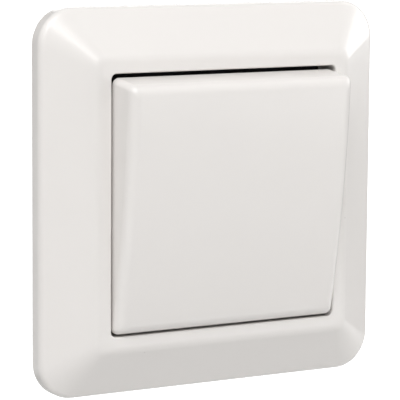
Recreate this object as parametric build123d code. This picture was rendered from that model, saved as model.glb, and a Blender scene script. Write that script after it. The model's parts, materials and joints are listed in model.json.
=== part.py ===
from build123d import *
import os
from math import atan2, cos

# A flush one-gang rocker switch (two-way) with its square cover frame.
# Millimetres. The wall surface is the plane y = 0, the front faces -Y, +Z is up and +X is to
# the right as seen from the front. The origin is the middle of the mounting plate's rear face.
# The switch is at rest with the lower half of its button pressed in.

# Cover frame
FRAME_SIDE = 84.0
FRAME_CORNER = 8.0
RIM_HEIGHT = 3.65
LAND_HEIGHT = 10.2
RIDGE_SIDE = 62.4
RIDGE_CORNER = 2.2
WINDOW_SIDE = 56.4
WINDOW_CORNER = 1.2
FRAME_WALL = 1.8
WINDOW_WALL = 1.5
WINDOW_WALL_END = 4.2
RIM_ROUND = 1.9
RIDGE_ROUND = 4.0
WINDOW_ROUND = 0.35
RIB_THICKNESS = 1.0
RIB_PLACES = (-27.0, -9.5, 9.5, 27.0)
RIB_REAR = 1.6

# Rocker button and the axis it tilts about
TILT = 7.5
PIVOT_Y = -8.0
BUTTON_WIDTH = 55.4
BUTTON_LENGTH = 54.6
BUTTON_FRONT = 16.2
BUTTON_CROWN = 300.0
BUTTON_WALL = 1.9
BUTTON_SKIRT = 5.8
BUTTON_ROUND = 2.3
BUTTON_CORNER = 1.4
BUTTON_RIB_PLACE_X = 11.0
BUTTON_RIB_PLACE_Z = 15.0
BUTTON_RIB_END = 24.0
BUTTON_RIB_FRONT = 14.8
BUTTON_RIB_HALF = 0.6
BUTTON_HOOK_X = (5.0, 10.0)
BUTTON_HOOK_FRONT = 14.1
BUTTON_HOOK_END = 9.2

# Rocker carrier, which the button clips on
CARRIER_HALF_X = 14.0
CARRIER_HALF_Z = 20.0
CARRIER_FRONT = 12.4
CARRIER_BACK = 10.8
CHEEK_THICKNESS = 1.6
CHEEK_RADIUS = 3.2
TRUNNION_RADIUS = 1.5
TRUNNION_END = 17.0
BOSS_RADIUS = 3.2
BOSS_BORE = 2.1
BOSS_END = -1.4
BORE_TOP = -9.6

# Plunger and its coil spring
PLUNGER_RADIUS = 2.02
PLUNGER_TOP = -4.6
PLUNGER_SHOULDER = 0.4
NOSE_RADIUS = 1.3
NOSE_TIP = 4.55
SPRING_RADIUS = 1.5
SPRING_WIRE = 0.4
SPRING_TURNS = 4

# Mounting plate
PLATE_SIDE = 70.0
PLATE_CORNER = 5.0
PLATE_THICKNESS = 1.2
PLATE_OPENING_X = 38.0
PLATE_OPENING_Z = 40.0
SCREW_SPACING = 60.0
SLOT_WIDTH = 4.2
SLOT_LENGTH = 6.8
CORNER_HOLE_PLACE = 30.0
CORNER_HOLE_RADIUS = 1.8

# Clips that hold the cover frame
CLIP_Z = 19.0
CLIP_LENGTH = 7.0
CLIP_INNER = 30.9
CLIP_NECK = 33.1
CLIP_LIP = 33.75
HOOK_INNER = 33.95
HOOK_OUTER = 35.15

# Housing: base cover in front of the plate, switch base behind it
COVER_HALF_X = 22.2
COVER_HALF_Z = 22.6
COVER_FRONT = 3.0
TONGUE_END = 3.0
EAR_INNER = 14.8
EAR_OUTER = 17.3
EAR_BORE = 1.56
BASE_HALF_X = 21.0
BASE_HALF_Z = 22.0
BASE_DEPTH = 22.0
BASE_WALL = 1.6
BASE_CHAMFER = 6.0
RIVET_X = 16.2
RIVET_Z = 17.2
RIVET_RADIUS = 1.2
CELL_HALF_X = 8.6
CELL_WALL = 1.2

# Moving contact, a see-saw on the knife edge of the common terminal
SEESAW_FRONT = 4.6
SEESAW_THICKNESS = 0.8
SEESAW_HALF_Z = 12.6
SEESAW_HALF_X = 3.0
SEESAW_TILT = 6.0
KNIFE_Y = 5.35
KNIFE_RADIUS = 0.2
GROOVE_RADIUS = 0.25
TIP_PLACE = 11.0
TIP_RADIUS = 1.6
TIP_HEIGHT = 0.7
TIP_DOME = 4.0
FIXED_TIP_Z = 10.85
FIXED_TIP_FRONT = 7.3

# Terminals with push-in clamps
RAIL_HALF_X = 8.2
RAIL_THICKNESS = 1.0
RAIL_FRONT = 8.0
RAIL_END = 20.0
RAIL_Z = 12.0
WIRE_X = 5.5
WIRE_RADIUS = 1.6
WIRE_LIFT = 1.5
CLAMP_INNER_X = 1.8
CLAMP_OUTER_X = 8.0
CLAMP_SHEET = 0.4
CLAMP_LOOP_Y = 18.4
CLAMP_LEG_START = 12.0
CLAMP_TIP_Y = 13.6
CLAMP_HIGH = 5.8
CLAMP_LOW = 3.2
LEVER_HALF_X = 3.0
LEVER_LOW = 1.5
LEVER_HIGH = 2.9
LEVER_NOSE = 17.9
LEVER_END = 23.4

# Claws that spread against the wall box, each with its screw and nut
CLAW_X = 25.2
CLAW_Z = -9.0
CLAW_SCREW_RADIUS = 1.5
CLAW_SCREW_END = 21.0
CLAW_HEAD_RADIUS = 2.6
CLAW_HEAD_HEIGHT = 2.0
CLAW_HALF_Z = 4.2
CLAW_LUG_Y = 15.0
CLAW_SHEET = 1.2
CLAW_INNER_X = 21.3
CLAW_OUTER_X = 29.4
CLAW_TOOTH_X = 31.6
CLAW_FRONT_Y = 8.0
CLAW_FORK_HALF = 1.7
RAMP_FOOT = (21.6, 14.5)
RAMP_TOP = (27.0, 7.3)
RAMP_FRONT = 4.5
RAMP_HALF = 0.6
RAMP_PLACE = 3.55
NUT_HALF = 2.75
NUT_HEIGHT = 2.0

GAP = 0.05


def block(x, y, z):
    """A box between the two ends given for each direction."""
    size = [abs(b - a) for a, b in (x, y, z)]
    middle = [(a + b) / 2 for a, b in (x, y, z)]
    return Pos(*middle) * Box(*size)


def both_sides(low, high):
    """The two ranges at low..high and at -high..-low."""
    return ((low, high), (-high, -low))


def rod(x, z, y, radius):
    """A round bar along Y."""
    length = abs(y[1] - y[0])
    turned = Cylinder(radius, length).rotate(Axis.X, 90)
    return Pos(x, (y[0] + y[1]) / 2, z) * turned


def cross_rod(x, y, z, radius):
    """A round bar along X."""
    length = abs(x[1] - x[0])
    turned = Cylinder(radius, length).rotate(Axis.Y, 90)
    return Pos((x[0] + x[1]) / 2, y, z) * turned


def slab(width, height, corner, y):
    """A flat piece with rounded corners, seen from the front, between two depths."""
    outline = RectangleRounded(width, height, corner)
    face = Plane(origin=(0, max(y), 0), x_dir=(1, 0, 0), z_dir=(0, -1, 0)) * outline
    return extrude(face, abs(y[1] - y[0]))


def side_profile(points, x):
    """An outline of (y, z) points, drawn out from one x to the other."""
    wire = Polyline(*[(x[0], y, z) for y, z in points], close=True)
    return extrude(make_face(wire), abs(x[1] - x[0]), dir=(1, 0, 0))


def top_profile(points, z):
    """An outline of (x, y) points, drawn out from one z to the other."""
    wire = Polyline(*[(x, y, z[0]) for x, y in points], close=True)
    return extrude(make_face(wire), abs(z[1] - z[0]), dir=(0, 0, 1))


def pyramid(low_side, low_corner, low_y, high_side, high_corner, high_y):
    """A straight-sided solid between two rounded squares at two depths."""
    outlines = []
    for side, corner, y in ((low_side, low_corner, low_y), (high_side, high_corner, high_y)):
        plane = Plane(origin=(0, y, 0), x_dir=(1, 0, 0), z_dir=(0, -1, 0))
        outlines.append(plane * RectangleRounded(side, side, corner))
    return loft(outlines, ruled=True)


def tilted(piece):
    """A piece of the rocker, turned from its middle position to its rest position."""
    return piece.rotate(Axis((0, PIVOT_Y, 0), (1, 0, 0)), TILT)


def see_sawed(piece):
    """A piece of the moving contact, turned to its rest position."""
    return piece.rotate(Axis((0, KNIFE_Y, 0), (1, 0, 0)), -SEESAW_TILT)


def left_from_right(piece):
    """The left claw's parts are the right ones turned half a turn about the Y axis."""
    return piece.rotate(Axis.Y, 180)


def frame_outside():
    """The frame's outer form: an upright rim, a sloping bevel and a flat land."""
    rim = slab(FRAME_SIDE, FRAME_SIDE, FRAME_CORNER, (0, -RIM_HEIGHT))
    bevel = pyramid(FRAME_SIDE, FRAME_CORNER, -RIM_HEIGHT, RIDGE_SIDE, RIDGE_CORNER, -LAND_HEIGHT)
    body = rim + bevel
    ridge = body.edges().filter_by_position(Axis.Y, -LAND_HEIGHT - GAP, -LAND_HEIGHT + GAP)
    body = fillet(ridge, RIDGE_ROUND)
    rim_edge = body.edges().filter_by_position(Axis.Y, -RIM_HEIGHT - GAP, -RIM_HEIGHT + GAP)
    return fillet(rim_edge, RIM_ROUND)


def frame_hollow():
    """The room under the frame: the outer form moved inward by the wall thickness."""
    run = (FRAME_SIDE - RIDGE_SIDE) / 2
    rise = LAND_HEIGHT - RIM_HEIGHT
    slope = rise / run
    bevel_angle = atan2(rise, run)
    inner_side = FRAME_SIDE - 2 * FRAME_WALL
    inner_corner = FRAME_CORNER - FRAME_WALL
    inner_rim = RIM_HEIGHT - FRAME_WALL / cos(bevel_angle) + FRAME_WALL * slope
    inner_land = LAND_HEIGHT - FRAME_WALL
    ridge_side = inner_side - 2 * (inner_land - inner_rim) / slope
    low = slab(inner_side, inner_side, inner_corner, (1, -inner_rim))
    high = pyramid(inner_side, inner_corner, -inner_rim, ridge_side, RIDGE_CORNER, -inner_land)
    return low + high


def frame_hook(side, z):
    """A snap leg under the frame, whose nose catches behind the lip of a clip."""
    leg = block((HOOK_INNER, HOOK_OUTER), (-7.4, -2.0), (-CLIP_LENGTH / 2, CLIP_LENGTH / 2))
    nose = top_profile(
        [(HOOK_INNER - 0.6, -2.95), (HOOK_INNER + 0.2, -2.95), (HOOK_INNER + 0.2, -2.0), (HOOK_INNER, -2.0)],
        (-CLIP_LENGTH / 2, CLIP_LENGTH / 2),
    )
    hook = Pos(0, 0, z) * (leg + nose)
    return hook if side > 0 else mirror(hook, Plane.YZ)


def frame_ribs():
    """Thin ribs under all four sides of the frame."""
    inner = WINDOW_SIDE / 2 + WINDOW_WALL / 2
    outer = FRAME_SIDE / 2 - FRAME_WALL / 2
    ribs = Part()
    for place in RIB_PLACES:
        rib = block((inner, outer), (-LAND_HEIGHT, -RIB_REAR), (-RIB_THICKNESS / 2, RIB_THICKNESS / 2))
        for turn in range(4):
            ribs += (Pos(0, 0, place) * rib).rotate(Axis.Y, 90 * turn)
    return ribs


def cover_frame():
    outside = frame_outside()
    window_wall_side = WINDOW_SIDE + 2 * WINDOW_WALL
    window_wall = slab(
        window_wall_side, window_wall_side, WINDOW_CORNER + WINDOW_WALL, (-WINDOW_WALL_END, -LAND_HEIGHT)
    )
    shell = outside - (frame_hollow() - window_wall)
    shell += frame_ribs() & outside
    for side in (1, -1):
        for z in (CLIP_Z, -CLIP_Z):
            shell += frame_hook(side, z) & outside
    window = slab(WINDOW_SIDE, WINDOW_SIDE, WINDOW_CORNER, (1, -LAND_HEIGHT - 1))
    shell -= window
    front = shell.faces().filter_by_position(Axis.Y, -LAND_HEIGHT - GAP, -LAND_HEIGHT + GAP)
    return fillet(front.sort_by(SortBy.AREA)[-1].inner_wires()[0].edges(), WINDOW_ROUND)


def crowned_block(width, length, front, crown, back):
    """A block whose front is part of a wide cylinder that lies along X."""
    solid = block((-width / 2, width / 2), (-front - 1, -back), (-length / 2, length / 2))
    return solid & cross_rod((-width, width), crown - front, 0, crown)


def button_hooks():
    """Four snap legs behind the button, which hold it on the ends of the carrier."""
    hooks = Part()
    for x in both_sides(*BUTTON_HOOK_X):
        for side in (1, -1):
            leg_y = (-BUTTON_HOOK_FRONT, -BUTTON_HOOK_END)
            leg = block(x, leg_y, (CARRIER_HALF_Z + 0.2, CARRIER_HALF_Z + 1.5))
            nose = side_profile(
                [
                    (-CARRIER_BACK + GAP, CARRIER_HALF_Z + 0.3),
                    (-CARRIER_BACK + GAP, CARRIER_HALF_Z - 0.5),
                    (-BUTTON_HOOK_END, CARRIER_HALF_Z + 0.3),
                ],
                x,
            )
            hook = leg + nose
            hooks += hook if side > 0 else mirror(hook, Plane.XY)
    return hooks


def button_ribs():
    """Ribs behind the button's face, which rest on the front of the carrier."""
    along = (-BUTTON_RIB_END, BUTTON_RIB_END)
    y = (-BUTTON_RIB_FRONT, -CARRIER_FRONT - 0.02)
    ribs = Part()
    for x in (-BUTTON_RIB_PLACE_X, BUTTON_RIB_PLACE_X):
        ribs += block((x - BUTTON_RIB_HALF, x + BUTTON_RIB_HALF), y, along)
    for z in (-BUTTON_RIB_PLACE_Z, BUTTON_RIB_PLACE_Z):
        ribs += block(along, y, (z - BUTTON_RIB_HALF, z + BUTTON_RIB_HALF))
    return ribs


def rocker_button():
    outside = crowned_block(BUTTON_WIDTH, BUTTON_LENGTH, BUTTON_FRONT, BUTTON_CROWN, BUTTON_SKIRT)
    face = outside.faces().sort_by(Axis.Y)[0]
    outside = fillet(face.edges(), BUTTON_ROUND)
    upright = [
        edge
        for edge in outside.edges()
        if abs(abs(edge.center().X) - BUTTON_WIDTH / 2) < BUTTON_ROUND
        and abs(abs(edge.center().Z) - BUTTON_LENGTH / 2) < BUTTON_ROUND
    ]
    outside = fillet(upright, BUTTON_CORNER)
    hollow = crowned_block(
        BUTTON_WIDTH - 2 * BUTTON_WALL,
        BUTTON_LENGTH - 2 * BUTTON_WALL,
        BUTTON_FRONT - BUTTON_WALL,
        BUTTON_CROWN - BUTTON_WALL,
        BUTTON_SKIRT - 1,
    )
    shell = outside - hollow
    return tilted(shell + (button_ribs() & outside) + button_hooks())


def rocker_carrier():
    x = (-CARRIER_HALF_X, CARRIER_HALF_X)
    z = (-CARRIER_HALF_Z, CARRIER_HALF_Z)
    carrier = block(x, (-CARRIER_FRONT, -CARRIER_BACK), z)
    for low, high in both_sides(CARRIER_HALF_X - CHEEK_THICKNESS, CARRIER_HALF_X):
        carrier += block((low, high), (-CARRIER_BACK, PIVOT_Y), (-CHEEK_RADIUS, CHEEK_RADIUS))
        carrier += cross_rod((low, high), PIVOT_Y, 0, CHEEK_RADIUS)
    for low, high in both_sides(CARRIER_HALF_X, TRUNNION_END):
        carrier += cross_rod((low, high), PIVOT_Y, 0, TRUNNION_RADIUS)
    for rib in (-4.6, 4.6):
        carrier += block((rib - 0.6, rib + 0.6), (-CARRIER_BACK, -8.6), (-18.0, 18.0))
    carrier += rod(0, 0, (-CARRIER_BACK, BOSS_END), BOSS_RADIUS)
    carrier -= rod(0, 0, (BORE_TOP, 0), BOSS_BORE)
    for z_hole in (-15.0, 15.0):
        carrier -= block((-3.5, 3.5), (-CARRIER_FRONT - 1, -8.0), (z_hole - 2.0, z_hole + 2.0))
    return tilted(carrier)


def plunger():
    body = rod(0, 0, (PLUNGER_TOP, PLUNGER_SHOULDER), PLUNGER_RADIUS)
    body += rod(0, 0, (PLUNGER_SHOULDER, NOSE_TIP - NOSE_RADIUS), NOSE_RADIUS)
    body += Pos(0, NOSE_TIP - NOSE_RADIUS, 0) * Sphere(NOSE_RADIUS)
    return tilted(body)


def plunger_spring():
    length = PLUNGER_TOP - BORE_TOP - 2 * GAP - SPRING_WIRE
    coil = Helix(length / SPRING_TURNS, length, SPRING_RADIUS)
    start = Plane(origin=coil @ 0, z_dir=coil % 0)
    wire = sweep(start * Circle(SPRING_WIRE / 2), path=coil, is_frenet=True)
    foot = PLUNGER_TOP - GAP - SPRING_WIRE / 2
    return tilted(Pos(0, foot, 0) * wire.rotate(Axis.X, 90))


def box_screw_holes():
    """Level slots for the wall box screws on the level centre line, round holes on the upright one."""
    slot = Plane(origin=(0, 1, 0), x_dir=(1, 0, 0), z_dir=(0, -1, 0)) * SlotOverall(SLOT_LENGTH, SLOT_WIDTH)
    cutter = extrude(slot, 4)
    holes = Part()
    for place in (-SCREW_SPACING / 2, SCREW_SPACING / 2):
        holes += Pos(place, 0, 0) * cutter
        holes += rod(0, place, (-3, 1), SLOT_WIDTH / 2)
    return holes


def mounting_plate():
    y = (0, -PLATE_THICKNESS)
    plate = slab(PLATE_SIDE, PLATE_SIDE, PLATE_CORNER, y)
    plate -= slab(PLATE_OPENING_X, PLATE_OPENING_Z, 3.0, (1, -2))
    plate -= box_screw_holes()
    for turn in (0, 180):
        hole = rod(CLAW_X, CLAW_Z, (-2, 1), CLAW_SCREW_RADIUS + 0.4)
        plate -= hole.rotate(Axis.Y, turn)
    for turn in range(4):
        hole = rod(CORNER_HOLE_PLACE, CORNER_HOLE_PLACE, (-2, 1), CORNER_HOLE_RADIUS)
        plate -= hole.rotate(Axis.Y, 90 * turn)
        notch = block((PLATE_SIDE / 2 - 2.0, PLATE_SIDE / 2 + 1), (-2, 1), (-3.5, 3.5))
        plate -= (Pos(0, 0, 11.0) * notch).rotate(Axis.Y, 90 * turn)
        plate -= (Pos(0, 0, -11.0) * notch).rotate(Axis.Y, 90 * turn)
    return plate


def frame_clips():
    """Four small plastic clips on the plate, one beside each snap leg of the frame."""
    front = -4.6
    lip_back = -3.1
    outline = [
        (CLIP_INNER, -PLATE_THICKNESS),
        (CLIP_INNER, front),
        (CLIP_NECK, front),
        (CLIP_LIP, lip_back - 0.5),
        (CLIP_LIP, lip_back),
        (CLIP_NECK, lip_back),
        (CLIP_NECK, -PLATE_THICKNESS),
    ]
    clips = []
    for z in (CLIP_Z, -CLIP_Z):
        clip = top_profile(outline, (z - CLIP_LENGTH / 2, z + CLIP_LENGTH / 2))
        clips += [clip, mirror(clip, Plane.YZ)]
    return clips


def cover_ears():
    """The two open bearings that the carrier's trunnions snap into."""
    ears = Part()
    for low, high in both_sides(EAR_INNER, EAR_OUTER):
        foot = [(-COVER_FRONT, -5.0), (-COVER_FRONT, 5.0), (PIVOT_Y, CHEEK_RADIUS), (PIVOT_Y, -CHEEK_RADIUS)]
        ear = side_profile(foot, (low, high)) + cross_rod((low, high), PIVOT_Y, 0, CHEEK_RADIUS)
        ear -= cross_rod((low - 1, high + 1), PIVOT_Y, 0, EAR_BORE)
        ear -= block((low - 1, high + 1), (PIVOT_Y - 5, PIVOT_Y), (-1.25, 1.25))
        ears += ear
    return ears


def base_cover():
    """The front half of the housing, which carries the rocker and closes the contact chamber."""
    cover = slab(2 * COVER_HALF_X, 2 * COVER_HALF_Z, 3.0, (-PLATE_THICKNESS, -COVER_FRONT))
    tongue_x = PLATE_OPENING_X / 2 - 0.2
    tongue_z = PLATE_OPENING_Z / 2 - 0.2
    tongue_y = (-PLATE_THICKNESS, TONGUE_END)
    for low, high in both_sides(tongue_x - 1.4, tongue_x):
        cover += block((low, high), tongue_y, (-10.0, 10.0))
    for low, high in both_sides(tongue_z - 1.4, tongue_z):
        cover += block((-10.0, 10.0), tongue_y, (low, high))
    for x in both_sides(EAR_INNER - 1.0, EAR_OUTER + 0.7):
        cover += block(x, (-PLATE_THICKNESS, 0), (-6.0, 6.0))
    cover += cover_ears()
    cover -= block((-4.5, 4.5), (-4, 4), (-6.0, 6.0))
    for x in (-RIVET_X, RIVET_X):
        for z in (-RIVET_Z, RIVET_Z):
            cover += rod(x, z, (-PLATE_THICKNESS, 0), RIVET_RADIUS + 1.1)
            cover -= rod(x, z, (-4, 4), RIVET_RADIUS + GAP)
    return cover


def ramp(z):
    """One of the sloping ribs that a claw rides up."""
    outline = [
        (BASE_HALF_X - 0.5, RAMP_FRONT),
        (RAMP_TOP[0], RAMP_FRONT),
        RAMP_TOP,
        RAMP_FOOT,
        (BASE_HALF_X - 0.5, RAMP_FOOT[1] + 0.6),
    ]
    return top_profile(outline, (z - RAMP_HALF, z + RAMP_HALF))


def base_walls():
    """The inner walls of the base: two long ones, two across between the terminals' cells."""
    rear = BASE_DEPTH - BASE_WALL / 2
    walls = Part()
    for x in both_sides(CELL_HALF_X, CELL_HALF_X + CELL_WALL):
        walls += block(x, (3.4, rear), (-BASE_HALF_Z + 1, BASE_HALF_Z - 1))
    for z in ((7.4, 8.4), (-3.2, -2.2)):
        walls += block((-CELL_HALF_X - 0.1, CELL_HALF_X + 0.1), (9.6, rear), z)
    return walls


def wire_entries():
    """The round wire holes with their funnels, and the slots of the release levers."""
    cuts = Part()
    for rail_top, up in terminal_places():
        for x in (-WIRE_X, WIRE_X):
            z = rail_top + up * WIRE_LIFT
            cuts += rod(x, z, (RAIL_END, BASE_DEPTH + 1), WIRE_RADIUS)
            funnel = Cone(WIRE_RADIUS + 0.6, WIRE_RADIUS, 0.6).rotate(Axis.X, 90)
            cuts += Pos(x, BASE_DEPTH - 0.3, z) * funnel
        low, high = sorted((rail_top + up * (LEVER_LOW - GAP), rail_top + up * (LEVER_HIGH + GAP)))
        slot_x = LEVER_HALF_X + GAP
        cuts += block((-slot_x, slot_x), (RAIL_END, BASE_DEPTH + 1), (low, high))
    return cuts


def terminal_places():
    """For each terminal, the height of its wire side and the way its clamps face."""
    upper = (RAIL_Z + RAIL_THICKNESS, 1)
    common = (RAIL_THICKNESS / 2, 1)
    lower = (-RAIL_Z - RAIL_THICKNESS, -1)
    return upper, common, lower


def switch_base():
    """The rear half of the housing: a box with chamfered corners, open to the front."""
    box = block((-BASE_HALF_X, BASE_HALF_X), (0, BASE_DEPTH), (-BASE_HALF_Z, BASE_HALF_Z))
    box = chamfer(box.edges().filter_by(Axis.Y), BASE_CHAMFER)
    rear_edges = box.faces().sort_by(Axis.Y)[-1].edges()
    box = chamfer(rear_edges, 0.8)
    inside_x = BASE_HALF_X - BASE_WALL
    inside_z = BASE_HALF_Z - BASE_WALL
    hollow = block((-inside_x, inside_x), (-1, BASE_DEPTH - BASE_WALL), (-inside_z, inside_z))
    hollow = chamfer(hollow.edges().filter_by(Axis.Y), BASE_CHAMFER - 1.0)
    base = box - hollow
    base += base_walls()
    for x in (-RIVET_X, RIVET_X):
        for z in (-RIVET_Z, RIVET_Z):
            base += rod(x, z, (0, BASE_DEPTH - 0.5), RIVET_RADIUS + 1.6) & box
            base -= rod(x, z, (-1, BASE_DEPTH + 1), RIVET_RADIUS + GAP)
    base -= wire_entries()
    for turn in (0, 180):
        for z in (CLAW_Z - RAMP_PLACE, CLAW_Z + RAMP_PLACE):
            base += ramp(z).rotate(Axis.Y, turn)
    return base


def base_rivets():
    """Four rivets that clamp cover, plate and base together."""
    rivets = []
    for x in (-RIVET_X, RIVET_X):
        for z in (-RIVET_Z, RIVET_Z):
            shank = rod(x, z, (-COVER_FRONT, BASE_DEPTH), RIVET_RADIUS)
            front = rod(x, z, (-COVER_FRONT - 0.9, -COVER_FRONT), 2.1)
            front = fillet(front.edges().sort_by(Axis.Y)[0], 0.6)
            rear = rod(x, z, (BASE_DEPTH, BASE_DEPTH + 0.8), 2.1)
            rear = fillet(rear.edges().sort_by(Axis.Y)[-1], 0.5)
            rivets.append(shank + front + rear)
    return rivets


def moving_contact():
    rear = SEESAW_FRONT + SEESAW_THICKNESS
    strip = block((-SEESAW_HALF_X, SEESAW_HALF_X), (SEESAW_FRONT, rear), (-SEESAW_HALF_Z, SEESAW_HALF_Z))
    strip = fillet(strip.edges().filter_by(Axis.Y), 1.2)
    groove = cross_rod((-SEESAW_HALF_X - 1, SEESAW_HALF_X + 1), KNIFE_Y, 0, GROOVE_RADIUS)
    return see_sawed(strip - groove)


def moving_contact_tips():
    """Domed silver tips on the rear of both arms."""
    rear = SEESAW_FRONT + SEESAW_THICKNESS
    tips = []
    for z in (TIP_PLACE, -TIP_PLACE):
        tip = rod(0, z, (rear, rear + TIP_HEIGHT), TIP_RADIUS)
        tip &= Pos(0, rear + TIP_HEIGHT - TIP_DOME, z) * Sphere(TIP_DOME)
        tips.append(see_sawed(tip))
    return tips


def common_terminal():
    """A rail whose front narrows to the round edge that the moving contact rocks on."""
    half = RAIL_THICKNESS / 2
    x = (-SEESAW_HALF_X, SEESAW_HALF_X)
    upper_side = [(KNIFE_Y, KNIFE_RADIUS), (KNIFE_Y + 1.0, half), (RAIL_FRONT + 1, half)]
    lower_side = [(y, -z) for y, z in reversed(upper_side)]
    blade = side_profile(upper_side + lower_side, x) + cross_rod(x, KNIFE_Y, 0, KNIFE_RADIUS)
    rail = block((-RAIL_HALF_X, RAIL_HALF_X), (RAIL_FRONT, RAIL_END), (-half, half))
    return rail + blade


def outer_terminal():
    """The upper rail, with a tab bent down for its fixed contact."""
    plate = block((-RAIL_HALF_X, RAIL_HALF_X), (RAIL_FRONT, RAIL_END), (RAIL_Z, RAIL_Z + RAIL_THICKNESS))
    tab = block((-3.0, 3.0), (RAIL_FRONT, RAIL_FRONT + RAIL_THICKNESS), (8.9, RAIL_Z + RAIL_THICKNESS))
    return plate + tab


def fixed_contact_tips():
    tips = []
    for z in (FIXED_TIP_Z, -FIXED_TIP_Z):
        tip = rod(0, z, (FIXED_TIP_FRONT, RAIL_FRONT), TIP_RADIUS)
        tips.append(chamfer(tip.edges().sort_by(Axis.Y)[0], 0.2))
    return tips


def clamp_springs(rail_top, up):
    """Two bent leaf springs that press the wires on the rail of one terminal."""
    high = CLAMP_HIGH
    low = CLAMP_LOW
    middle = (high + low) / 2
    outer_radius = (high - low) / 2
    springs = []
    for x in both_sides(CLAMP_INNER_X, CLAMP_OUTER_X):
        back_leg = block(x, (CLAMP_LEG_START, CLAMP_LOOP_Y), (high - CLAMP_SHEET, high))
        loop = cross_rod(x, CLAMP_LOOP_Y, middle, outer_radius)
        loop -= cross_rod((x[0] - 1, x[1] + 1), CLAMP_LOOP_Y, middle, outer_radius - CLAMP_SHEET)
        loop &= block(x, (CLAMP_LOOP_Y, CLAMP_LOOP_Y + 3), (0, 8))
        front_leg = side_profile(
            [
                (CLAMP_LOOP_Y, low),
                (CLAMP_LOOP_Y, low + CLAMP_SHEET),
                (CLAMP_TIP_Y - 0.25, 0.6),
                (CLAMP_TIP_Y + 0.1, 0.3),
            ],
            x,
        )
        spring = back_leg + loop + front_leg
        if up < 0:
            spring = mirror(spring, Plane.XY)
        springs.append(Pos(0, 0, rail_top) * spring)
    return springs


def release_lever(rail_top, up):
    """A slider behind one terminal: pressed in, it bends the clamp springs off the wires."""
    x = (-LEVER_HALF_X, LEVER_HALF_X)
    lever = block(x, (LEVER_NOSE, LEVER_END), (LEVER_LOW, LEVER_HIGH))
    lever = chamfer(lever.edges().filter_by(Axis.X).sort_by(Axis.Y)[:2].sort_by(Axis.Z)[-1], 0.9)
    lever = chamfer(lever.faces().sort_by(Axis.Y)[-1].edges(), 0.3)
    flange_x = (-LEVER_HALF_X - 0.5, LEVER_HALF_X + 0.5)
    lever += block(flange_x, (19.5, BASE_DEPTH - BASE_WALL - GAP), (LEVER_LOW, LEVER_HIGH - 0.3))
    if up < 0:
        lever = mirror(lever, Plane.XY)
    return Pos(0, 0, rail_top) * lever


def right_claw():
    """A bent sheet with a forked lug round its screw and a toothed outer edge."""
    z = (CLAW_Z - CLAW_HALF_Z, CLAW_Z + CLAW_HALF_Z)
    lug_rear = CLAW_LUG_Y + CLAW_SHEET
    claw = block((CLAW_INNER_X, CLAW_OUTER_X), (CLAW_LUG_Y, lug_rear), z)
    fork_end = CLAW_X + CLAW_FORK_HALF
    fork = (CLAW_Z - CLAW_FORK_HALF, CLAW_Z + CLAW_FORK_HALF)
    claw -= block((CLAW_INNER_X - 1, fork_end), (CLAW_LUG_Y - 1, lug_rear + 1), fork)
    claw += block((CLAW_OUTER_X - CLAW_SHEET, CLAW_OUTER_X), (CLAW_FRONT_Y, CLAW_LUG_Y), z)
    bend = claw.edges().filter_by(Axis.Z).filter_by_position(Axis.X, CLAW_OUTER_X - GAP, CLAW_OUTER_X + GAP)
    claw = fillet(bend.sort_by(Axis.Y)[-1], 1.0)
    for place in (-3.0, 0.0, 3.0):
        tooth = [
            (CLAW_OUTER_X - 0.2, CLAW_FRONT_Y),
            (CLAW_TOOTH_X, CLAW_FRONT_Y + 0.3),
            (CLAW_OUTER_X - 0.2, CLAW_FRONT_Y + 2.4),
        ]
        claw += top_profile(tooth, (CLAW_Z + place - 0.7, CLAW_Z + place + 0.7))
    for flange in both_sides(NUT_HALF + GAP, NUT_HALF + 1.05):
        flange_z = (CLAW_Z + flange[0], CLAW_Z + flange[1])
        claw += block((CLAW_INNER_X, CLAW_OUTER_X - 1.2), (lug_rear, lug_rear + 1.4), flange_z)
    return claw


def right_claw_screw():
    head_back = -PLATE_THICKNESS
    head_front = head_back - CLAW_HEAD_HEIGHT
    head = rod(CLAW_X, CLAW_Z, (head_front, head_back), CLAW_HEAD_RADIUS)
    head = fillet(head.edges().sort_by(Axis.Y)[0], 0.8)
    slot_x = (CLAW_X - CLAW_HEAD_RADIUS - 1, CLAW_X + CLAW_HEAD_RADIUS + 1)
    head -= block(slot_x, (head_front - 1, head_front + 1.0), (CLAW_Z - 0.4, CLAW_Z + 0.4))
    shank = rod(CLAW_X, CLAW_Z, (head_back, CLAW_SCREW_END), CLAW_SCREW_RADIUS)
    shank = chamfer(shank.edges().sort_by(Axis.Y)[-1], 0.4)
    return head + shank


def right_claw_nut():
    front = CLAW_LUG_Y + CLAW_SHEET + 0.02
    x = (CLAW_X - NUT_HALF, CLAW_X + NUT_HALF)
    z = (CLAW_Z - NUT_HALF, CLAW_Z + NUT_HALF)
    nut = chamfer(block(x, (front, front + NUT_HEIGHT), z).edges().filter_by(Axis.Y), 0.5)
    return nut - rod(CLAW_X, CLAW_Z, (front - 1, front + NUT_HEIGHT + 1), CLAW_SCREW_RADIUS + GAP)


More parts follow.
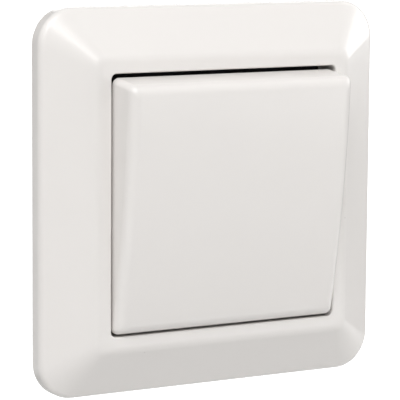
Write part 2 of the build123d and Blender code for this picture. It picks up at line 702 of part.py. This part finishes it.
def nodes():
    """Every sub-part by name. A group of equal pieces is a list of separate solids."""
    upper, common, lower = terminal_places()
    made = {
        "cover_frame": cover_frame(),
        "rocker_button": rocker_button(),
        "rocker_carrier": rocker_carrier(),
        "plunger": plunger(),
        "plunger_spring": plunger_spring(),
        "mounting_plate": mounting_plate(),
        "frame_clips": frame_clips(),
        "base_cover": base_cover(),
        "switch_base": switch_base(),
        "base_rivets": base_rivets(),
        "moving_contact": moving_contact(),
        "moving_contact_tips": moving_contact_tips(),
        "common_terminal": common_terminal(),
        "upper_terminal": outer_terminal(),
        "lower_terminal": mirror(outer_terminal(), Plane.XY),
        "fixed_contact_tips": fixed_contact_tips(),
        "upper_clamp_springs": clamp_springs(*upper),
        "common_clamp_springs": clamp_springs(*common),
        "lower_clamp_springs": clamp_springs(*lower),
        "upper_release_lever": release_lever(*upper),
        "common_release_lever": release_lever(*common),
        "lower_release_lever": release_lever(*lower),
    }
    for name, piece in (
        ("claw", right_claw()),
        ("claw_screw", right_claw_screw()),
        ("claw_nut", right_claw_nut()),
    ):
        made["right_" + name] = piece
        made["left_" + name] = left_from_right(piece)
    return made


os.makedirs("parts", exist_ok=True)
for node_name, shape in nodes().items():
    if isinstance(shape, list):
        shape = Compound(children=[solid for piece in shape for solid in piece.solids()])
    export_step(shape, f"parts/{node_name}.step")
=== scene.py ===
import json
from math import atan2, ceil, cos, hypot, pi, radians, sin, tan

import bmesh
import bpy
from mathutils import Matrix, Vector


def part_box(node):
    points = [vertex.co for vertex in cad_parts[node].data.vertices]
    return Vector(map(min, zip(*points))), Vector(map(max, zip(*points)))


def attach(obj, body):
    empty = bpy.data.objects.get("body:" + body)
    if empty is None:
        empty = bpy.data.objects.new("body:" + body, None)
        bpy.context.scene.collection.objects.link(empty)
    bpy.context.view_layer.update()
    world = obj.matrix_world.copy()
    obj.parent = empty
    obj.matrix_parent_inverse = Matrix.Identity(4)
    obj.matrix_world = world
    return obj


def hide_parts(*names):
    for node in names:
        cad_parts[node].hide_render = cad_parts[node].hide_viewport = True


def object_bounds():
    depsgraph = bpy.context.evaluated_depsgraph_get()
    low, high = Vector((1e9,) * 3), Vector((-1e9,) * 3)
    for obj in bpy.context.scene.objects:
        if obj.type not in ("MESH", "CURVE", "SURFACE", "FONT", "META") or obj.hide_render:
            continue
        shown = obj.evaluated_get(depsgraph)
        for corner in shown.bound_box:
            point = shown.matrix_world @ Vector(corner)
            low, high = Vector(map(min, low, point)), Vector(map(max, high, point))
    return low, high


# A flush rocker switch on its cover frame. Depth is measured from the wall surface towards the
# front, so it is -y, and outlines are rounded squares round the middle of the switch.

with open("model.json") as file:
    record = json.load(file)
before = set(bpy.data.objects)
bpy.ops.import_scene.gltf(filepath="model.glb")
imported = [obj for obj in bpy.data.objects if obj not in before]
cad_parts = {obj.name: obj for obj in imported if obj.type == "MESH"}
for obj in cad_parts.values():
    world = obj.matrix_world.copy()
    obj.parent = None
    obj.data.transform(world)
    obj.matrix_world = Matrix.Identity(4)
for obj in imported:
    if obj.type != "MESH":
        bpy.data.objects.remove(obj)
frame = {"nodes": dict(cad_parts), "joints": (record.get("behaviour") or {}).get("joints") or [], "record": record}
cad_low, cad_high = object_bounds()

MM = 0.001

# Camera, placed from the cover frame's box
CAMERA_AZIMUTH = -30.415
CAMERA_ELEVATION = 7.733
CAMERA_ROLL = 0.405
CAMERA_DISTANCE = 523.25 * MM
CAMERA_LENS = 214.84
SENSOR_WIDTH = 36.0
LOOK_OFFSET = Vector((-2.907, 1.147, -0.805)) * MM

# Cover frame: outer size and height come from its box
frame_low, frame_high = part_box("cover_frame")
FRAME_HALF = (frame_high.x - frame_low.x) / 2 / MM
LAND_DEPTH = -frame_low.y / MM
FRAME_CORNER = 8.0
RIM_DEPTH = 3.65
RIDGE_HALF = 31.2
RIDGE_CORNER = 2.2
WINDOW_HALF = 28.2
WINDOW_CORNER = 1.2
WINDOW_WALL = 1.5
WINDOW_WALL_END = 4.2
FRAME_WALL = 1.8
RIB_HALF = 0.5
RIB_PLACES = (-27.0, -9.5, 9.5, 27.0)
FRAME_RIB_OUTLINE = ((28.95, -1.6), (28.95, -8.9), (30.9, -8.9), (40.7, -3.0), (40.7, -1.6))
HOOK_PLACES = (-19.0, 19.0)
HOOK_HALF = 3.5
FRAME_HOOK_OUTLINE = (
    (33.95, -7.4), (33.95, -2.95), (33.35, -2.95), (33.95, -2.0), (35.15, -2.0), (35.15, -7.4),
)

# Rocker button, drawn in its middle position and then tilted about the rocker's joint
BUTTON_HALF_WIDTH = 27.7
BUTTON_HALF_LENGTH = 27.3
BUTTON_FRONT = 16.2
BUTTON_CROWN = 300.0
BUTTON_WALL = 1.9
BUTTON_SKIRT = 5.8
BUTTON_ROUND = 2.3
BUTTON_CORNER = 1.4
BUTTON_FRONT_CORNER = 0.9
BUTTON_LIP = 0.25
BUTTON_RIB_OUTLINE = ((-24.0, -14.8), (24.0, -14.8), (24.0, -12.42), (-24.0, -12.42))
BUTTON_RIB_HALF = 0.6
BUTTON_RIB_PLACES_Z = (-15.0, 15.0)
BUTTON_RIB_PLACES_X = (-11.0, 11.0)
BUTTON_HOOK_OUTLINE = (
    (20.2, -14.1), (20.2, -10.75), (19.5, -10.75), (20.3, -9.2), (21.5, -9.2), (21.5, -14.1),
)
BUTTON_HOOK_HALF = 2.5
BUTTON_HOOK_PLACES = (-7.5, 7.5)
REST_TILT = 7.5

# Studio: soft square lights by name, azimuth, elevation, size and power, and the floor
LIGHT_DISTANCE = 1.2
LIGHTS = (
    ("key", -29, 45, 0.7, 10.4),
    ("left", -70, 42, 0.7, 3.0),
    ("far_left", -110, 42, 0.7, 1.2),
    ("right", 88, 38, 0.7, 3.2),
    ("right_low", 85, 12, 0.6, 5.0),
    ("right_front", 50, 14, 0.6, 1.6),
    ("beside_camera", -50, 16, 0.6, 1.4),
    ("left_card", 25, -6, 0.16, 0.35),
    ("right_card", 38, -8, 0.18, 0.5),
    ("top", -60, 70, 0.7, 0.6),
    ("top_back", 180, 75, 0.7, 0.6),
    ("back", 150, 25, 0.7, 3.0),
    ("back_low", -140, -20, 0.7, 1.2),
)
FLOOR_RADIUS = 1.4
FLOOR_DROP = 0.35
FLOOR_GLOW_START = 0.75
FLOOR_GLOW_END = 0.9 * FLOOR_RADIUS
WHITE_GROUND = 1.3

# Mesh fineness: points in half a corner, along a straight side, and in a rounded edge
CORNER_STEPS = 8
SIDE_STEPS = 24
SIDE_POINTS = 2 * CORNER_STEPS + SIDE_STEPS
LOOP_POINTS = 4 * SIDE_POINTS
ROUND_STEPS = 10
BUTTON_ROUND_STEPS = 14
LONGEST_STEP = 3.0
SHARP_ANGLE = 32
FITTING_BEVEL = 0.12


def rounded_square(half, corner):
    """The (x, z) points round a rounded square, from the middle of its lower right corner."""
    inner = half - corner
    side = []
    for step in range(CORNER_STEPS):
        angle = -pi / 4 * (1 - step / CORNER_STEPS)
        side.append((inner + corner * cos(angle), -inner + corner * sin(angle)))
    for step in range(SIDE_STEPS):
        side.append((half, inner * (2 * step / SIDE_STEPS - 1)))
    for step in range(CORNER_STEPS):
        angle = pi / 4 * step / CORNER_STEPS
        side.append((inner + corner * cos(angle), inner + corner * sin(angle)))
    loop = list(side)
    for _ in range(3):
        side = [(-z, x) for x, z in side]
        loop += side
    return loop


def between(a, b, share):
    return tuple(p + (q - p) * share for p, q in zip(a, b))


def rounded_profile(points, closed):
    """Turns (half, depth, corner, radius) points into (half, depth, corner) levels with round bends."""
    levels = []
    count = len(points)
    for index, (half, depth, corner, radius) in enumerate(points):
        here = (half, depth, corner)
        if not closed and index in (0, count - 1):
            levels.append(here)
            continue
        before = points[index - 1][:3]
        after = points[(index + 1) % count][:3]
        to_before = hypot(before[0] - half, before[1] - depth)
        to_after = hypot(after[0] - half, after[1] - depth)
        way_before = atan2(before[1] - depth, before[0] - half)
        way_after = atan2(after[1] - depth, after[0] - half)
        turn = pi - abs((way_before - way_after + pi) % (2 * pi) - pi)
        reach = radius * tan(turn / 2)
        start = between(here, before, reach / to_before)
        end = between(here, after, reach / to_after)
        middle = between(start, end, 0.5)
        middle_way = Vector((middle[0] - half, middle[1] - depth)).normalized()
        centre = Vector((half, depth)) + middle_way * radius / cos(turn / 2)
        first = Vector(start[:2]) - centre
        last = Vector(end[:2]) - centre
        steps = max(2, ceil(ROUND_STEPS * min(1.0, turn / (pi / 3) * radius)))
        for step in range(steps + 1):
            share = step / steps
            angle = turn * share
            arm = (first * sin(turn - angle) + last * sin(angle)) / sin(turn)
            levels.append((centre.x + arm.x, centre.y + arm.y, between(start, end, share)[2]))
    return levels


def with_short_steps(levels, closed):
    """The levels with more of them where two neighbours are far apart."""
    result = []
    following = levels[1:] + levels[:1] if closed else levels[1:]
    for low, high in zip(levels, following):
        steps = max(1, ceil(hypot(high[0] - low[0], high[1] - low[1]) / LONGEST_STEP))
        result += [between(low, high, step / steps) for step in range(steps)]
    return result if closed else result + [levels[-1]]


def add_loops(mesh, loops, closed):
    """Bands of four-sided faces from each loop of points to the next."""
    rings = [[mesh.verts.new(point) for point in loop] for loop in loops]
    following = rings[1:] + rings[:1] if closed else rings[1:]
    for ring, other in zip(rings, following):
        for index in range(LOOP_POINTS):
            right = (index + 1) % LOOP_POINTS
            mesh.faces.new((ring[index], ring[right], other[right], other[index]))
    return rings


def add_patch(mesh, ring, depth_at):
    """A grid of faces that fills a loop; each inner point lies between the four sides."""
    last = SIDE_POINTS

    def edge(index):
        point = ring[index % LOOP_POINTS].co
        return Vector((point.x, point.z))

    grid = {}
    for row in range(last + 1):
        for column in range(last + 1):
            if column == last:
                grid[row, column] = ring[row]
            elif row == last:
                grid[row, column] = ring[2 * last - column]
            elif column == 0:
                grid[row, column] = ring[3 * last - row]
            elif row == 0:
                grid[row, column] = ring[3 * last + column]
            else:
                u = column / last
                v = row / last
                flat = edge(3 * last + column) * (1 - v) + edge(2 * last - column) * v
                flat += edge(3 * last - row) * (1 - u) + edge(row) * u
                flat -= (edge(3 * last) * (1 - u) + edge(0) * u) * (1 - v)
                flat -= (edge(2 * last) * (1 - u) + edge(last) * u) * v
                grid[row, column] = mesh.verts.new((flat.x, -depth_at(flat.y), flat.y))
    for row in range(last):
        for column in range(last):
            mesh.faces.new((
                grid[row, column],
                grid[row, column + 1],
                grid[row + 1, column + 1],
                grid[row + 1, column],
            ))


def add_prism(mesh, outline, half_thickness, place):
    """A closed prism with softened edges: an outline in xy, half_thickness each way along z."""
    part = bmesh.new()
    low = [part.verts.new((x, y, -half_thickness)) for x, y in outline]
    high = [part.verts.new((x, y, half_thickness)) for x, y in outline]
    part.faces.new(low)
    part.faces.new(high)
    for index in range(len(outline)):
        right = (index + 1) % len(outline)
        part.faces.new((low[index], low[right], high[right], high[index]))
    bmesh.ops.recalc_face_normals(part, faces=part.faces)
    bmesh.ops.bevel(part, geom=part.edges[:], offset=FITTING_BEVEL, segments=2, affect="EDGES")
    part.transform(place)
    part_data = bpy.data.meshes.new("part")
    part.to_mesh(part_data)
    part.free()
    mesh.from_mesh(part_data)
    bpy.data.meshes.remove(part_data)


def new_piece(name, mesh):
    """An object from a mesh drawn in millimetres."""
    bmesh.ops.recalc_face_normals(mesh, faces=mesh.faces)
    data = bpy.data.meshes.new(name)
    mesh.to_mesh(data)
    mesh.free()
    piece = bpy.data.objects.new(name, data)
    bpy.context.scene.collection.objects.link(piece)
    return piece


def grow_together(body, extra):
    """Joins the extra solids to the body and keeps only the outer skin."""
    join = body.modifiers.new("join", "BOOLEAN")
    join.operation = "UNION"
    join.solver = "EXACT"
    join.use_self = True
    join.object = extra
    ready = body.evaluated_get(bpy.context.evaluated_depsgraph_get())
    joined = bpy.data.meshes.new_from_object(ready)
    body.modifiers.clear()
    body.data = joined
    bpy.data.objects.remove(extra)


def finish_piece(piece, place):
    """Brings a piece to metres and to its place, and shades it smooth between its sharp edges."""
    piece.data.transform(place @ Matrix.Scale(MM, 4))
    for face in piece.data.polygons:
        face.use_smooth = True
    piece.data.set_sharp_from_angle(angle=radians(SHARP_ANGLE))
    normals = piece.modifiers.new("even_normals", "WEIGHTED_NORMAL")
    normals.keep_sharp = True


def frame_profile():
    """The frame's section: half size, depth, corner radius and bend radius of each bend."""
    slope = (LAND_DEPTH - RIM_DEPTH) / (FRAME_HALF - RIDGE_HALF)
    inner_half = FRAME_HALF - FRAME_WALL
    inner_corner = FRAME_CORNER - FRAME_WALL
    inner_rim = RIM_DEPTH - FRAME_WALL * hypot(1, slope) + FRAME_WALL * slope
    inner_land = LAND_DEPTH - FRAME_WALL
    inner_ridge = inner_half - (inner_land - inner_rim) / slope
    wall_outside = WINDOW_HALF + WINDOW_WALL
    return [
        (FRAME_HALF, 0.0, FRAME_CORNER, 0.25),
        (FRAME_HALF, RIM_DEPTH, FRAME_CORNER, 1.9),
        (RIDGE_HALF, LAND_DEPTH, RIDGE_CORNER, 4.0),
        (WINDOW_HALF, LAND_DEPTH, WINDOW_CORNER, 0.35),
        (WINDOW_HALF, WINDOW_WALL_END, WINDOW_CORNER, 0.2),
        (wall_outside, WINDOW_WALL_END, WINDOW_CORNER + WINDOW_WALL, 0.2),
        (wall_outside, inner_land, WINDOW_CORNER + WINDOW_WALL, 0.3),
        (inner_ridge, inner_land, RIDGE_CORNER, 0.3),
        (inner_half, inner_rim, inner_corner, 0.5),
        (inner_half, 0.0, inner_corner, 0.25),
    ]


def frame_fittings():
    """The ribs and the four snap legs under the frame."""
    mesh = bmesh.new()
    for turn in range(4):
        side = Matrix.Rotation(turn * pi / 2, 4, "Y")
        for place in RIB_PLACES:
            add_prism(mesh, FRAME_RIB_OUTLINE, RIB_HALF, side @ Matrix.Translation((0, 0, place)))
    for turn in (0, pi):
        side = Matrix.Rotation(turn, 4, "Y")
        for place in HOOK_PLACES:
            add_prism(mesh, FRAME_HOOK_OUTLINE, HOOK_HALF, side @ Matrix.Translation((0, 0, place)))
    return new_piece("frame_fittings", mesh)


def make_frame():
    mesh = bmesh.new()
    levels = with_short_steps(rounded_profile(frame_profile(), closed=True), closed=True)
    loops = []
    for half, depth, corner in levels:
        loops.append([(x, -depth, z) for x, z in rounded_square(half, corner)])
    add_loops(mesh, loops, closed=True)
    piece = new_piece("frame_moulding", mesh)
    grow_together(piece, frame_fittings())
    finish_piece(piece, Matrix.Identity(4))
    return piece


def crown_drop(z):
    """How far the button's front falls back at a height above or below its middle."""
    return BUTTON_CROWN - (BUTTON_CROWN ** 2 - z ** 2) ** 0.5


def button_loops():
    """Loops from the rim of the front, over the rounded edge, down the walls and up again inside."""
    loops = []
    extra_width = BUTTON_HALF_WIDTH - BUTTON_HALF_LENGTH

    def add(half, corner, depth, crown_share):
        """Adds a loop of this half length; the button is a little wider than long."""
        loop = []
        for x, z in rounded_square(half, corner):
            wide_x = x * (half + extra_width) / half
            loop.append((wide_x, -(depth - crown_share * crown_drop(z)), z))
        loops.append(loop)

    for step in range(BUTTON_ROUND_STEPS + 1):
        share = step / BUTTON_ROUND_STEPS
        angle = pi / 2 * (1 - share)
        half = BUTTON_HALF_LENGTH - BUTTON_ROUND * (1 - cos(angle))
        corner = BUTTON_FRONT_CORNER + (BUTTON_CORNER - BUTTON_FRONT_CORNER) * share
        add(half, corner, BUTTON_FRONT - BUTTON_ROUND * (1 - sin(angle)), 1.0)
    wall_top = BUTTON_FRONT - BUTTON_ROUND
    lip_top = BUTTON_SKIRT + BUTTON_LIP
    for share in (0.1, 0.4, 0.7):
        add(BUTTON_HALF_LENGTH, BUTTON_CORNER, wall_top + (lip_top - wall_top) * share, 1.0 - share)
    for step in range(5):
        angle = pi / 2 * step / 4
        half = BUTTON_HALF_LENGTH - BUTTON_LIP * (1 - cos(angle))
        add(half, BUTTON_CORNER, BUTTON_SKIRT + BUTTON_LIP * (1 - sin(angle)), 0.0)
    inner_half = BUTTON_HALF_LENGTH - BUTTON_WALL
    inner_front = BUTTON_FRONT - BUTTON_WALL
    add(inner_half + BUTTON_LIP, 0.8, BUTTON_SKIRT, 0.0)
    add(inner_half, 0.6, lip_top, 0.0)
    add(inner_half, 0.6, (BUTTON_SKIRT + inner_front) / 2, 0.5)
    add(inner_half, 0.6, inner_front - 0.4, 1.0)
    add(inner_half - 0.12, 0.5, inner_front - 0.12, 1.0)
    add(inner_half - 0.4, 0.4, inner_front, 1.0)
    return loops


def button_fittings():
    """The ribs behind the button's front and the snap legs that hold it on the carrier."""
    mesh = bmesh.new()
    for place in BUTTON_RIB_PLACES_Z:
        add_prism(mesh, BUTTON_RIB_OUTLINE, BUTTON_RIB_HALF, Matrix.Translation((0, 0, place)))
    quarter = Matrix.Rotation(pi / 2, 4, "Y")
    for place in BUTTON_RIB_PLACES_X:
        add_prism(mesh, BUTTON_RIB_OUTLINE, BUTTON_RIB_HALF, Matrix.Translation((place, 0, 0)) @ quarter)
    for turn in (pi / 2, -pi / 2):
        side = Matrix.Rotation(turn, 4, "Y")
        for place in BUTTON_HOOK_PLACES:
            spot = side @ Matrix.Translation((0, 0, place))
            add_prism(mesh, BUTTON_HOOK_OUTLINE, BUTTON_HOOK_HALF, spot)
    return new_piece("button_fittings", mesh)


def make_button():
    mesh = bmesh.new()
    rings = add_loops(mesh, button_loops(), closed=False)
    add_patch(mesh, rings[0], lambda z: BUTTON_FRONT - crown_drop(z))
    add_patch(mesh, rings[-1], lambda z: BUTTON_FRONT - BUTTON_WALL - crown_drop(z))
    piece = new_piece("button_moulding", mesh)
    grow_together(piece, button_fittings())
    joint = next(joint for joint in frame["joints"] if joint["name"] == "rocker_tilt")
    pivot = Matrix.Translation(Vector(joint["pos_m"]))
    finish_piece(piece, pivot @ Matrix.Rotation(radians(REST_TILT), 4, "X") @ pivot.inverted())
    return piece


class Finish:
    """A Principled material with the few patterns that the finishes share."""

    def __init__(self, name):
        self.material = bpy.data.materials.new(name)
        self.material.use_nodes = True
        self.nodes = self.material.node_tree.nodes
        self.links = self.material.node_tree.links
        self.shader = self.nodes["Principled BSDF"]
        self.place = self.nodes.new("ShaderNodeTexCoord").outputs["Object"]
        self.normal = None

    def set(self, **values):
        for name, value in values.items():
            self.shader.inputs[name.replace("_", " ")].default_value = value

    def stretched(self, scale):
        mapping = self.nodes.new("ShaderNodeMapping")
        mapping.inputs["Scale"].default_value = scale
        self.links.new(self.place, mapping.inputs["Vector"])
        return mapping.outputs["Vector"]

    def noise(self, size, detail=3.0, stretch=(1, 1, 1)):
        """Soft noise whose features are about this many millimetres wide."""
        texture = self.nodes.new("ShaderNodeTexNoise")
        texture.inputs["Scale"].default_value = 1 / (size * MM)
        texture.inputs["Detail"].default_value = detail
        self.links.new(self.stretched(stretch), texture.inputs["Vector"])
        return texture.outputs["Fac"]

    def cells(self, size):
        """The distance to the middle of the nearest of many scattered cells."""
        texture = self.nodes.new("ShaderNodeTexVoronoi")
        texture.inputs["Scale"].default_value = 1 / (size * MM)
        self.links.new(self.place, texture.inputs["Vector"])
        return texture.outputs["Distance"]

    def mapped(self, value, low, high, out_low, out_high):
        node = self.nodes.new("ShaderNodeMapRange")
        sockets = {"From Min": low, "From Max": high, "To Min": out_low, "To Max": out_high}
        for name, number in sockets.items():
            node.inputs[name].default_value = number
        self.links.new(value, node.inputs["Value"])
        return node.outputs["Result"]

    def colour(self, factor, first, second):
        """Mixes two colours, where either may be another mix, and sends the result to the shader."""
        mix = self.nodes.new("ShaderNodeMix")
        mix.data_type = "RGBA"
        self.links.new(factor, mix.inputs["Factor"])
        for socket, value in ((mix.inputs[6], first), (mix.inputs[7], second)):
            if isinstance(value, bpy.types.NodeSocket):
                self.links.new(value, socket)
            else:
                socket.default_value = (*value, 1)
        self.links.new(mix.outputs[2], self.shader.inputs["Base Color"])
        return mix.outputs[2]

    def roughness(self, value, smooth, rough):
        self.links.new(self.mapped(value, 0.3, 0.7, smooth, rough), self.shader.inputs["Roughness"])

    def soften(self, radius):
        """Shades sharp edges as if they were rounded by this many millimetres."""
        bevel = self.nodes.new("ShaderNodeBevel")
        bevel.samples = 6
        bevel.inputs["Radius"].default_value = radius * MM
        self.normal = bevel.outputs["Normal"]

    def bump(self, height, depth):
        """Raises the surface by up to this many millimetres."""
        bump = self.nodes.new("ShaderNodeBump")
        bump.inputs["Distance"].default_value = depth * MM
        self.links.new(height, bump.inputs["Height"])
        if self.normal:
            self.links.new(self.normal, bump.inputs["Normal"])
        self.normal = bump.outputs["Normal"]
        self.links.new(self.normal, self.shader.inputs["Normal"])


def cover_finish():
    """Off-white semi-gloss plastic with a barely uneven skin and a few dark specks in it."""
    finish = Finish("white_cover")
    finish.set(IOR=1.48)
    tone = finish.colour(finish.noise(14.0), (0.80, 0.772, 0.750), (0.812, 0.786, 0.760))
    specks = finish.mapped(finish.cells(9.0), 0.006, 0.018, 0.65, 0.0)
    finish.colour(specks, tone, (0.30, 0.27, 0.23))
    finish.roughness(finish.noise(6.0), 0.22, 0.27)
    finish.bump(finish.noise(1.6, detail=2.0), 0.004)
    finish.bump(finish.noise(0.25), 0.0010)
    return finish.material


def plastic_finish(name, tone, second_tone, smooth, rough, grain, depth):
    """Moulded plastic: cloudy tone, fine eroded grain, softened edges."""
    finish = Finish(name)
    finish.set(IOR=1.5)
    finish.soften(0.25)
    finish.colour(finish.noise(5.0), tone, second_tone)
    finish.roughness(finish.noise(1.2), smooth, rough)
    finish.bump(finish.noise(grain, detail=5.0), depth)
    return finish.material


def metal_finish(name, tone, second_tone, smooth, rough, grain, depth, stretch=(1, 1, 1)):
    """Bare or plated metal: cloudy tone, fine lines along the way it was rolled, softened edges."""
    finish = Finish(name)
    finish.set(Metallic=1.0)
    finish.soften(0.1)
    finish.colour(finish.noise(4.0), tone, second_tone)
    lines = finish.noise(grain, detail=4.0, stretch=stretch)
    finish.roughness(lines, smooth, rough)
    finish.bump(lines, depth)
    return finish.material


def painted_shade_plate_finish():
    """Steel sheet made near-black as painted shade, so the gaps round the rocker look shadowed; dull, cloudy, with
    the steel showing through in small scratches.
    """
    finish = Finish("black_steel")
    finish.set(Metallic=0.6)
    # painted shade: this near-black tone stands in for the shadow inside the gaps round the rocker
    tone = finish.colour(finish.noise(6.0), (0.020, 0.020, 0.022), (0.034, 0.033, 0.031))
    scratches = finish.mapped(finish.noise(0.5, detail=6.0, stretch=(0.12, 1, 1)), 0.70, 0.76, 0.0, 0.6)
    finish.colour(scratches, tone, (0.30, 0.29, 0.27))
    finish.roughness(finish.noise(0.8), 0.38, 0.52)
    finish.bump(finish.noise(0.3, detail=4.0), 0.01)
    return finish.material


def all_finishes():
    """A material for each of the record's slots."""
    along_z = (1, 1, 0.06)
    along_x = (0.06, 1, 1)
    return {
        "white_cover": cover_finish(),
        # the black_steel slot is painted shade: a near-black plate in place of the shadow behind the rocker
        "black_steel": painted_shade_plate_finish(),
        "carrier_plastic": plastic_finish(
            "carrier_plastic", (0.66, 0.66, 0.64), (0.70, 0.70, 0.67), 0.42, 0.55, 0.3, 0.006
        ),
        "housing_plastic": plastic_finish(
            "housing_plastic", (0.57, 0.565, 0.53), (0.62, 0.61, 0.575), 0.48, 0.62, 0.22, 0.02
        ),
        "lever_plastic": plastic_finish(
            "lever_plastic", (0.72, 0.16, 0.02), (0.78, 0.20, 0.03), 0.35, 0.48, 0.25, 0.008
        ),
        "clip_plastic": plastic_finish(
            "clip_plastic", (0.055, 0.058, 0.064), (0.075, 0.078, 0.084), 0.4, 0.55, 0.25, 0.008
        ),
        "plunger_plastic": plastic_finish(
            "plunger_plastic", (0.80, 0.78, 0.70), (0.84, 0.82, 0.75), 0.3, 0.4, 0.4, 0.004
        ),
        "zinc_steel": metal_finish(
            "zinc_steel", (0.56, 0.57, 0.60), (0.68, 0.67, 0.60), 0.28, 0.46, 0.35, 0.006, along_x
        ),
        "screw_steel": metal_finish(
            "screw_steel", (0.66, 0.65, 0.62), (0.72, 0.70, 0.62), 0.2, 0.36, 0.25, 0.005
        ),
        "spring_steel": metal_finish(
            "spring_steel", (0.52, 0.53, 0.55), (0.60, 0.60, 0.61), 0.18, 0.3, 0.3, 0.003, along_x
        ),
        "copper_alloy": metal_finish(
            "copper_alloy", (0.78, 0.45, 0.26), (0.84, 0.55, 0.33), 0.25, 0.42, 0.3, 0.005, along_z
        ),
        "silver_contact": metal_finish(
            "silver_contact", (0.84, 0.83, 0.80), (0.90, 0.89, 0.87), 0.22, 0.4, 0.2, 0.004
        ),
    }


def dress(finishes):
    """Gives every carried-over CAD node the finish of its slot."""
    slots = {part["node"]: part["material_slot"] for part in frame["record"]["subparts"]}
    for node, piece in frame["nodes"].items():
        piece.data.materials.clear()
        piece.data.materials.append(finishes[slots[node]])


def add_camera():
    """The camera stands to the left of the cover frame and a little above its middle."""
    target = (frame_low + frame_high) / 2 + LOOK_OFFSET
    azimuth = radians(CAMERA_AZIMUTH)
    elevation = radians(CAMERA_ELEVATION)
    back = Vector((sin(azimuth) * cos(elevation), -cos(azimuth) * cos(elevation), sin(elevation)))
    right = (-back).cross(Vector((0, 0, 1))).normalized()
    up = right.cross(-back)
    roll = radians(CAMERA_ROLL)
    rolled_right = right * cos(roll) + up * sin(roll)
    rolled_up = up * cos(roll) - right * sin(roll)
    data = bpy.data.cameras.new("camera")
    data.lens = CAMERA_LENS
    data.sensor_width = SENSOR_WIDTH
    data.clip_start = 0.01
    camera = bpy.data.objects.new("camera", data)
    turn = Matrix((rolled_right, rolled_up, back)).transposed().to_4x4()
    camera.matrix_world = Matrix.Translation(target + back * CAMERA_DISTANCE) @ turn
    bpy.context.scene.collection.objects.link(camera)
    bpy.context.scene.camera = camera


def add_area(name, azimuth, elevation, distance, size, power):
    """A square soft light that looks at the switch; azimuth 0 is straight in front, 90 on the right."""
    azimuth = radians(azimuth)
    elevation = radians(elevation)
    data = bpy.data.lights.new(name, "AREA")
    data.shape = "SQUARE"
    data.size = size
    data.energy = power
    light = bpy.data.objects.new(name, data)
    way = Vector((sin(azimuth) * cos(elevation), -cos(azimuth) * cos(elevation), sin(elevation)))
    light.location = way * distance
    light.rotation_euler = (-way).to_track_quat("-Z", "Y").to_euler()
    bpy.context.scene.collection.objects.link(light)


def add_world():
    """A ground that gives no light but that the camera sees as plain white."""
    world = bpy.data.worlds.new("studio")
    bpy.context.scene.world = world
    world.use_nodes = True
    nodes = world.node_tree.nodes
    links = world.node_tree.links
    background = nodes["Background"]
    background.inputs["Color"].default_value = (1, 1, 1, 1)
    path = nodes.new("ShaderNodeLightPath")
    mix = nodes.new("ShaderNodeMix")
    mix.inputs["A"].default_value = 0.0
    mix.inputs["B"].default_value = WHITE_GROUND
    links.new(path.outputs["Is Camera Ray"], mix.inputs["Factor"])
    links.new(mix.outputs["Result"], background.inputs["Strength"])


def add_floor():
    """A pale round floor well below the switch, which brightens to white at its edge."""
    mesh = bmesh.new()
    bmesh.ops.create_circle(mesh, cap_ends=True, segments=96, radius=FLOOR_RADIUS)
    floor = new_piece("floor", mesh)
    floor.location = (0, 0, cad_low.z - FLOOR_DROP)
    finish = Finish("floor")
    finish.set(Roughness=0.9, Emission_Color=(1, 1, 1, 1))
    finish.colour(finish.noise(900.0), (0.76, 0.76, 0.76), (0.78, 0.78, 0.77))
    length = finish.nodes.new("ShaderNodeVectorMath")
    length.operation = "LENGTH"
    finish.links.new(finish.place, length.inputs[0])
    glow = finish.mapped(length.outputs["Value"], FLOOR_GLOW_START, FLOOR_GLOW_END, 0.04, 1.0)
    finish.links.new(glow, finish.shader.inputs["Emission Strength"])
    floor.data.materials.append(finish.material)


bpy.context.scene.view_settings.view_transform = "Standard"
add_camera()
add_world()
add_floor()
for name, azimuth, elevation, size, power in LIGHTS:
    add_area(name, azimuth, elevation, LIGHT_DISTANCE, size, power)

finishes = all_finishes()
dress(finishes)
replacements = (
    (make_frame(), "cover_frame", "insert"),
    (make_button(), "rocker_button", "rocker"),
)
for piece, node, body in replacements:
    piece.data.materials.clear()
    piece.data.materials.append(finishes["white_cover"])
    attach(piece, body)
    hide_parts(node)
